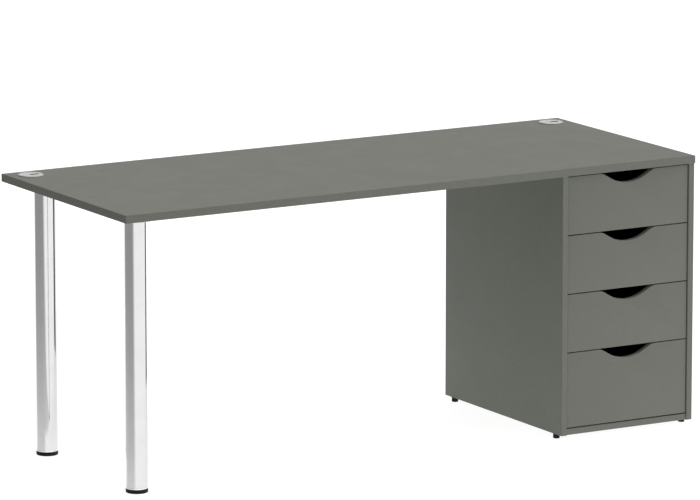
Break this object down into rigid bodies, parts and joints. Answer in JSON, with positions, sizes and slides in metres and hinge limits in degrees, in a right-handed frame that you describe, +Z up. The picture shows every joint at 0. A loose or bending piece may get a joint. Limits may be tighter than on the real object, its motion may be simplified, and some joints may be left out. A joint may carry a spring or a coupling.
{
  "type": "writing desk",
  "caption": "Wide grey writing desk with a drawer pedestal on the right, round chromed legs on the left, cable grommets and finger cut-outs in the drawer fronts.",
  "frame": {"origin": "on the floor, under the middle of the desktop", "axes": "+X along the desktop to the sitter's right, towards the pedestal; +Y to the rear; +Z up. The drawers open towards -Y."},
  "size_m": [1.8, 0.722, 0.7685],
  "materials": {
    "melamine_board": "matt grey melamine on particle board, fine pearl texture",
    "edge_strip": "matt grey plastic edge strip, long edges rounded",
    "silver_plastic": "silver-grey moulded plastic, satin",
    "chromed_steel": "bright chromed tube",
    "chromed_ring": "bright chromed ring",
    "black_plastic": "black moulded plastic",
    "zinc_steel": "zinc-plated steel",
    "runner_steel": "anthracite powder-coated sheet steel",
    "inner_board": "anthracite melamine on particle board",
    "cam_metal": "die-cast zinc alloy, nickel-plated",
    "dowel_wood": "beech, raw",
    "roller_nylon": "off-white nylon"
  },
  "bodies": {
    "desk_frame": {"desktop_panel": "melamine_board", "edge_band_front": "edge_strip", "edge_band_rear": "edge_strip", "edge_band_left": "edge_strip", "edge_band_right": "edge_strip", "grommet_rings": "silver_plastic", "leg_plates": "zinc_steel", "leg_tube_front": "chromed_steel", "leg_tube_rear": "chromed_steel", "leg_end_plugs": "chromed_ring", "leg_set_screws": "zinc_steel", "leg_plate_screws": "zinc_steel", "pedestal_side_left": "melamine_board", "pedestal_side_right": "melamine_board", "pedestal_bottom": "melamine_board", "pedestal_back": "melamine_board", "pedestal_rails": "inner_board", "pedestal_edge_bands": "edge_strip", "cam_fittings": "cam_metal", "dowels": "dowel_wood", "desktop_screws": "zinc_steel", "glide_sockets": "zinc_steel", "cabinet_runners": "runner_steel", "runner_screws": "zinc_steel"},
    "foot_front": {"leg_foot_front": "black_plastic"},
    "foot_rear": {"leg_foot_rear": "black_plastic"},
    "glide_front_left": {"glide_front_left": "black_plastic"},
    "glide_front_right": {"glide_front_right": "black_plastic"},
    "glide_rear_left": {"glide_rear_left": "black_plastic"},
    "glide_rear_right": {"glide_rear_right": "black_plastic"},
    "grommet_cap_left": {"grommet_cap_left": "silver_plastic"},
    "grommet_cap_right": {"grommet_cap_right": "silver_plastic"},
    "drawer_1": {"drawer_1_front": "melamine_board", "drawer_1_side_left": "runner_steel", "drawer_1_side_right": "runner_steel", "drawer_1_back": "inner_board", "drawer_1_bottom": "inner_board"},
    "drawer_1_front_rollers": {"drawer_1_front_rollers": "roller_nylon"},
    "drawer_1_rear_rollers": {"drawer_1_rear_rollers": "roller_nylon"},
    "drawer_2": {"drawer_2_front": "melamine_board", "drawer_2_side_left": "runner_steel", "drawer_2_side_right": "runner_steel", "drawer_2_back": "inner_board", "drawer_2_bottom": "inner_board"},
    "drawer_2_front_rollers": {"drawer_2_front_rollers": "roller_nylon"},
    "drawer_2_rear_rollers": {"drawer_2_rear_rollers": "roller_nylon"},
    "drawer_3": {"drawer_3_front": "melamine_board", "drawer_3_side_left": "runner_steel", "drawer_3_side_right": "runner_steel", "drawer_3_back": "inner_board", "drawer_3_bottom": "inner_board"},
    "drawer_3_front_rollers": {"drawer_3_front_rollers": "roller_nylon"},
    "drawer_3_rear_rollers": {"drawer_3_rear_rollers": "roller_nylon"},
    "drawer_4": {"drawer_4_front": "melamine_board", "drawer_4_side_left": "runner_steel", "drawer_4_side_right": "runner_steel", "drawer_4_back": "inner_board", "drawer_4_bottom": "inner_board"},
    "drawer_4_front_rollers": {"drawer_4_front_rollers": "roller_nylon"},
    "drawer_4_rear_rollers": {"drawer_4_rear_rollers": "roller_nylon"}
  },
  "joints": [
    {"name": "foot_front_travel", "type": "slide", "parent": "desk_frame", "child": "foot_front", "axis": [0, 0, -1], "range_m": [0, 0.02]},
    {"name": "foot_rear_travel", "type": "slide", "parent": "desk_frame", "child": "foot_rear", "axis": [0, 0, -1], "range_m": [0, 0.02]},
    {"name": "glide_front_left_travel", "type": "slide", "parent": "desk_frame", "child": "glide_front_left", "axis": [0, 0, -1], "range_m": [0, 0.012]},
    {"name": "glide_front_right_travel", "type": "slide", "parent": "desk_frame", "child": "glide_front_right", "axis": [0, 0, -1], "range_m": [0, 0.012]},
    {"name": "glide_rear_left_travel", "type": "slide", "parent": "desk_frame", "child": "glide_rear_left", "axis": [0, 0, -1], "range_m": [0, 0.012]},
    {"name": "glide_rear_right_travel", "type": "slide", "parent": "desk_frame", "child": "glide_rear_right", "axis": [0, 0, -1], "range_m": [0, 0.012]},
    {"name": "grommet_cap_left_turn", "type": "hinge", "parent": "desk_frame", "child": "grommet_cap_left", "pos_m": [-0.84, 0.301, 0.766], "axis": [0, 0, 1], "continuous": true},
    {"name": "grommet_cap_right_turn", "type": "hinge", "parent": "desk_frame", "child": "grommet_cap_right", "pos_m": [0.84, 0.301, 0.766], "axis": [0, 0, 1], "continuous": true},
    {"name": "drawer_1_slide", "type": "slide", "parent": "desk_frame", "child": "drawer_1", "axis": [0, -1, 0], "range_m": [0, 0.385]},
    {"name": "drawer_1_front_rollers_spin", "type": "hinge", "parent": "desk_frame", "child": "drawer_1_front_rollers", "pos_m": [0.6815, -0.321, 0.6052], "axis": [1, 0, 0], "continuous": true},
    {"name": "drawer_1_rear_rollers_spin", "type": "hinge", "parent": "drawer_1", "child": "drawer_1_rear_rollers", "pos_m": [0.6815, 0.149, 0.6025], "axis": [1, 0, 0], "continuous": true},
    {"name": "drawer_2_slide", "type": "slide", "parent": "desk_frame", "child": "drawer_2", "axis": [0, -1, 0], "range_m": [0, 0.385]},
    {"name": "drawer_2_front_rollers_spin", "type": "hinge", "parent": "desk_frame", "child": "drawer_2_front_rollers", "pos_m": [0.6815, -0.321, 0.4397], "axis": [1, 0, 0], "continuous": true},
    {"name": "drawer_2_rear_rollers_spin", "type": "hinge", "parent": "drawer_2", "child": "drawer_2_rear_rollers", "pos_m": [0.6815, 0.149, 0.437], "axis": [1, 0, 0], "continuous": true},
    {"name": "drawer_3_slide", "type": "slide", "parent": "desk_frame", "child": "drawer_3", "axis": [0, -1, 0], "range_m": [0, 0.385]},
    {"name": "drawer_3_front_rollers_spin", "type": "hinge", "parent": "desk_frame", "child": "drawer_3_front_rollers", "pos_m": [0.6815, -0.321, 0.2742], "axis": [1, 0, 0], "continuous": true},
    {"name": "drawer_3_rear_rollers_spin", "type": "hinge", "parent": "drawer_3", "child": "drawer_3_rear_rollers", "pos_m": [0.6815, 0.149, 0.2715], "axis": [1, 0, 0], "continuous": true},
    {"name": "drawer_4_slide", "type": "slide", "parent": "desk_frame", "child": "drawer_4", "axis": [0, -1, 0], "range_m": [0, 0.385]},
    {"name": "drawer_4_front_rollers_spin", "type": "hinge", "parent": "desk_frame", "child": "drawer_4_front_rollers", "pos_m": [0.6815, -0.321, 0.0607], "axis": [1, 0, 0], "continuous": true},
    {"name": "drawer_4_rear_rollers_spin", "type": "hinge", "parent": "drawer_4", "child": "drawer_4_rear_rollers", "pos_m": [0.6815, 0.149, 0.058], "axis": [1, 0, 0], "continuous": true}
  ],
  "couplings": [
    {"joint": "drawer_1_front_rollers_spin", "follows": "drawer_1_slide", "rad_per_m": 95.238},
    {"joint": "drawer_1_rear_rollers_spin", "follows": "drawer_1_slide", "rad_per_m": 95.238},
    {"joint": "drawer_2_front_rollers_spin", "follows": "drawer_2_slide", "rad_per_m": 95.238},
    {"joint": "drawer_2_rear_rollers_spin", "follows": "drawer_2_slide", "rad_per_m": 95.238},
    {"joint": "drawer_3_front_rollers_spin", "follows": "drawer_3_slide", "rad_per_m": 95.238},
    {"joint": "drawer_3_rear_rollers_spin", "follows": "drawer_3_slide", "rad_per_m": 95.238},
    {"joint": "drawer_4_front_rollers_spin", "follows": "drawer_4_slide", "rad_per_m": 95.238},
    {"joint": "drawer_4_rear_rollers_spin", "follows": "drawer_4_slide", "rad_per_m": 95.238}
  ]
}
